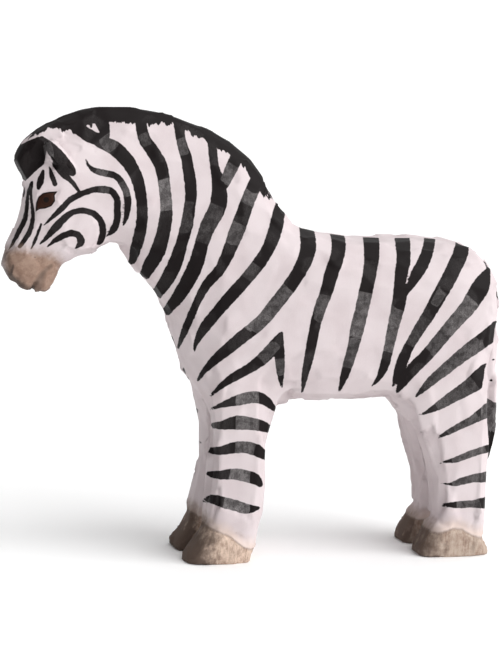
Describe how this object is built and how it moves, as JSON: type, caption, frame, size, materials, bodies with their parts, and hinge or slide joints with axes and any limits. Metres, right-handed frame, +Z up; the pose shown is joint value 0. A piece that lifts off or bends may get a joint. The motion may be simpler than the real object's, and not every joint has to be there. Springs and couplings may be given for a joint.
{
  "type": "zebra figurine",
  "caption": "Small standing zebra figurine carved from a block of wood and painted, with a ridged mane and flat hoof soles.",
  "frame": {"origin": "centre of the figure's box, at the level of the hoof soles it stands on", "axes": "+Z up, +X from the head towards the tail, +Y towards the figure's right side"},
  "size_m": [0.1092, 0.0272, 0.0954],
  "materials": {
    "painted_wood": "white paint with black stripes brushed over knife-cut wood, with tan stained wood at the muzzle and hooves"
  },
  "bodies": {
    "root": {"zebra": "painted_wood"}
  },
  "joints": []
}
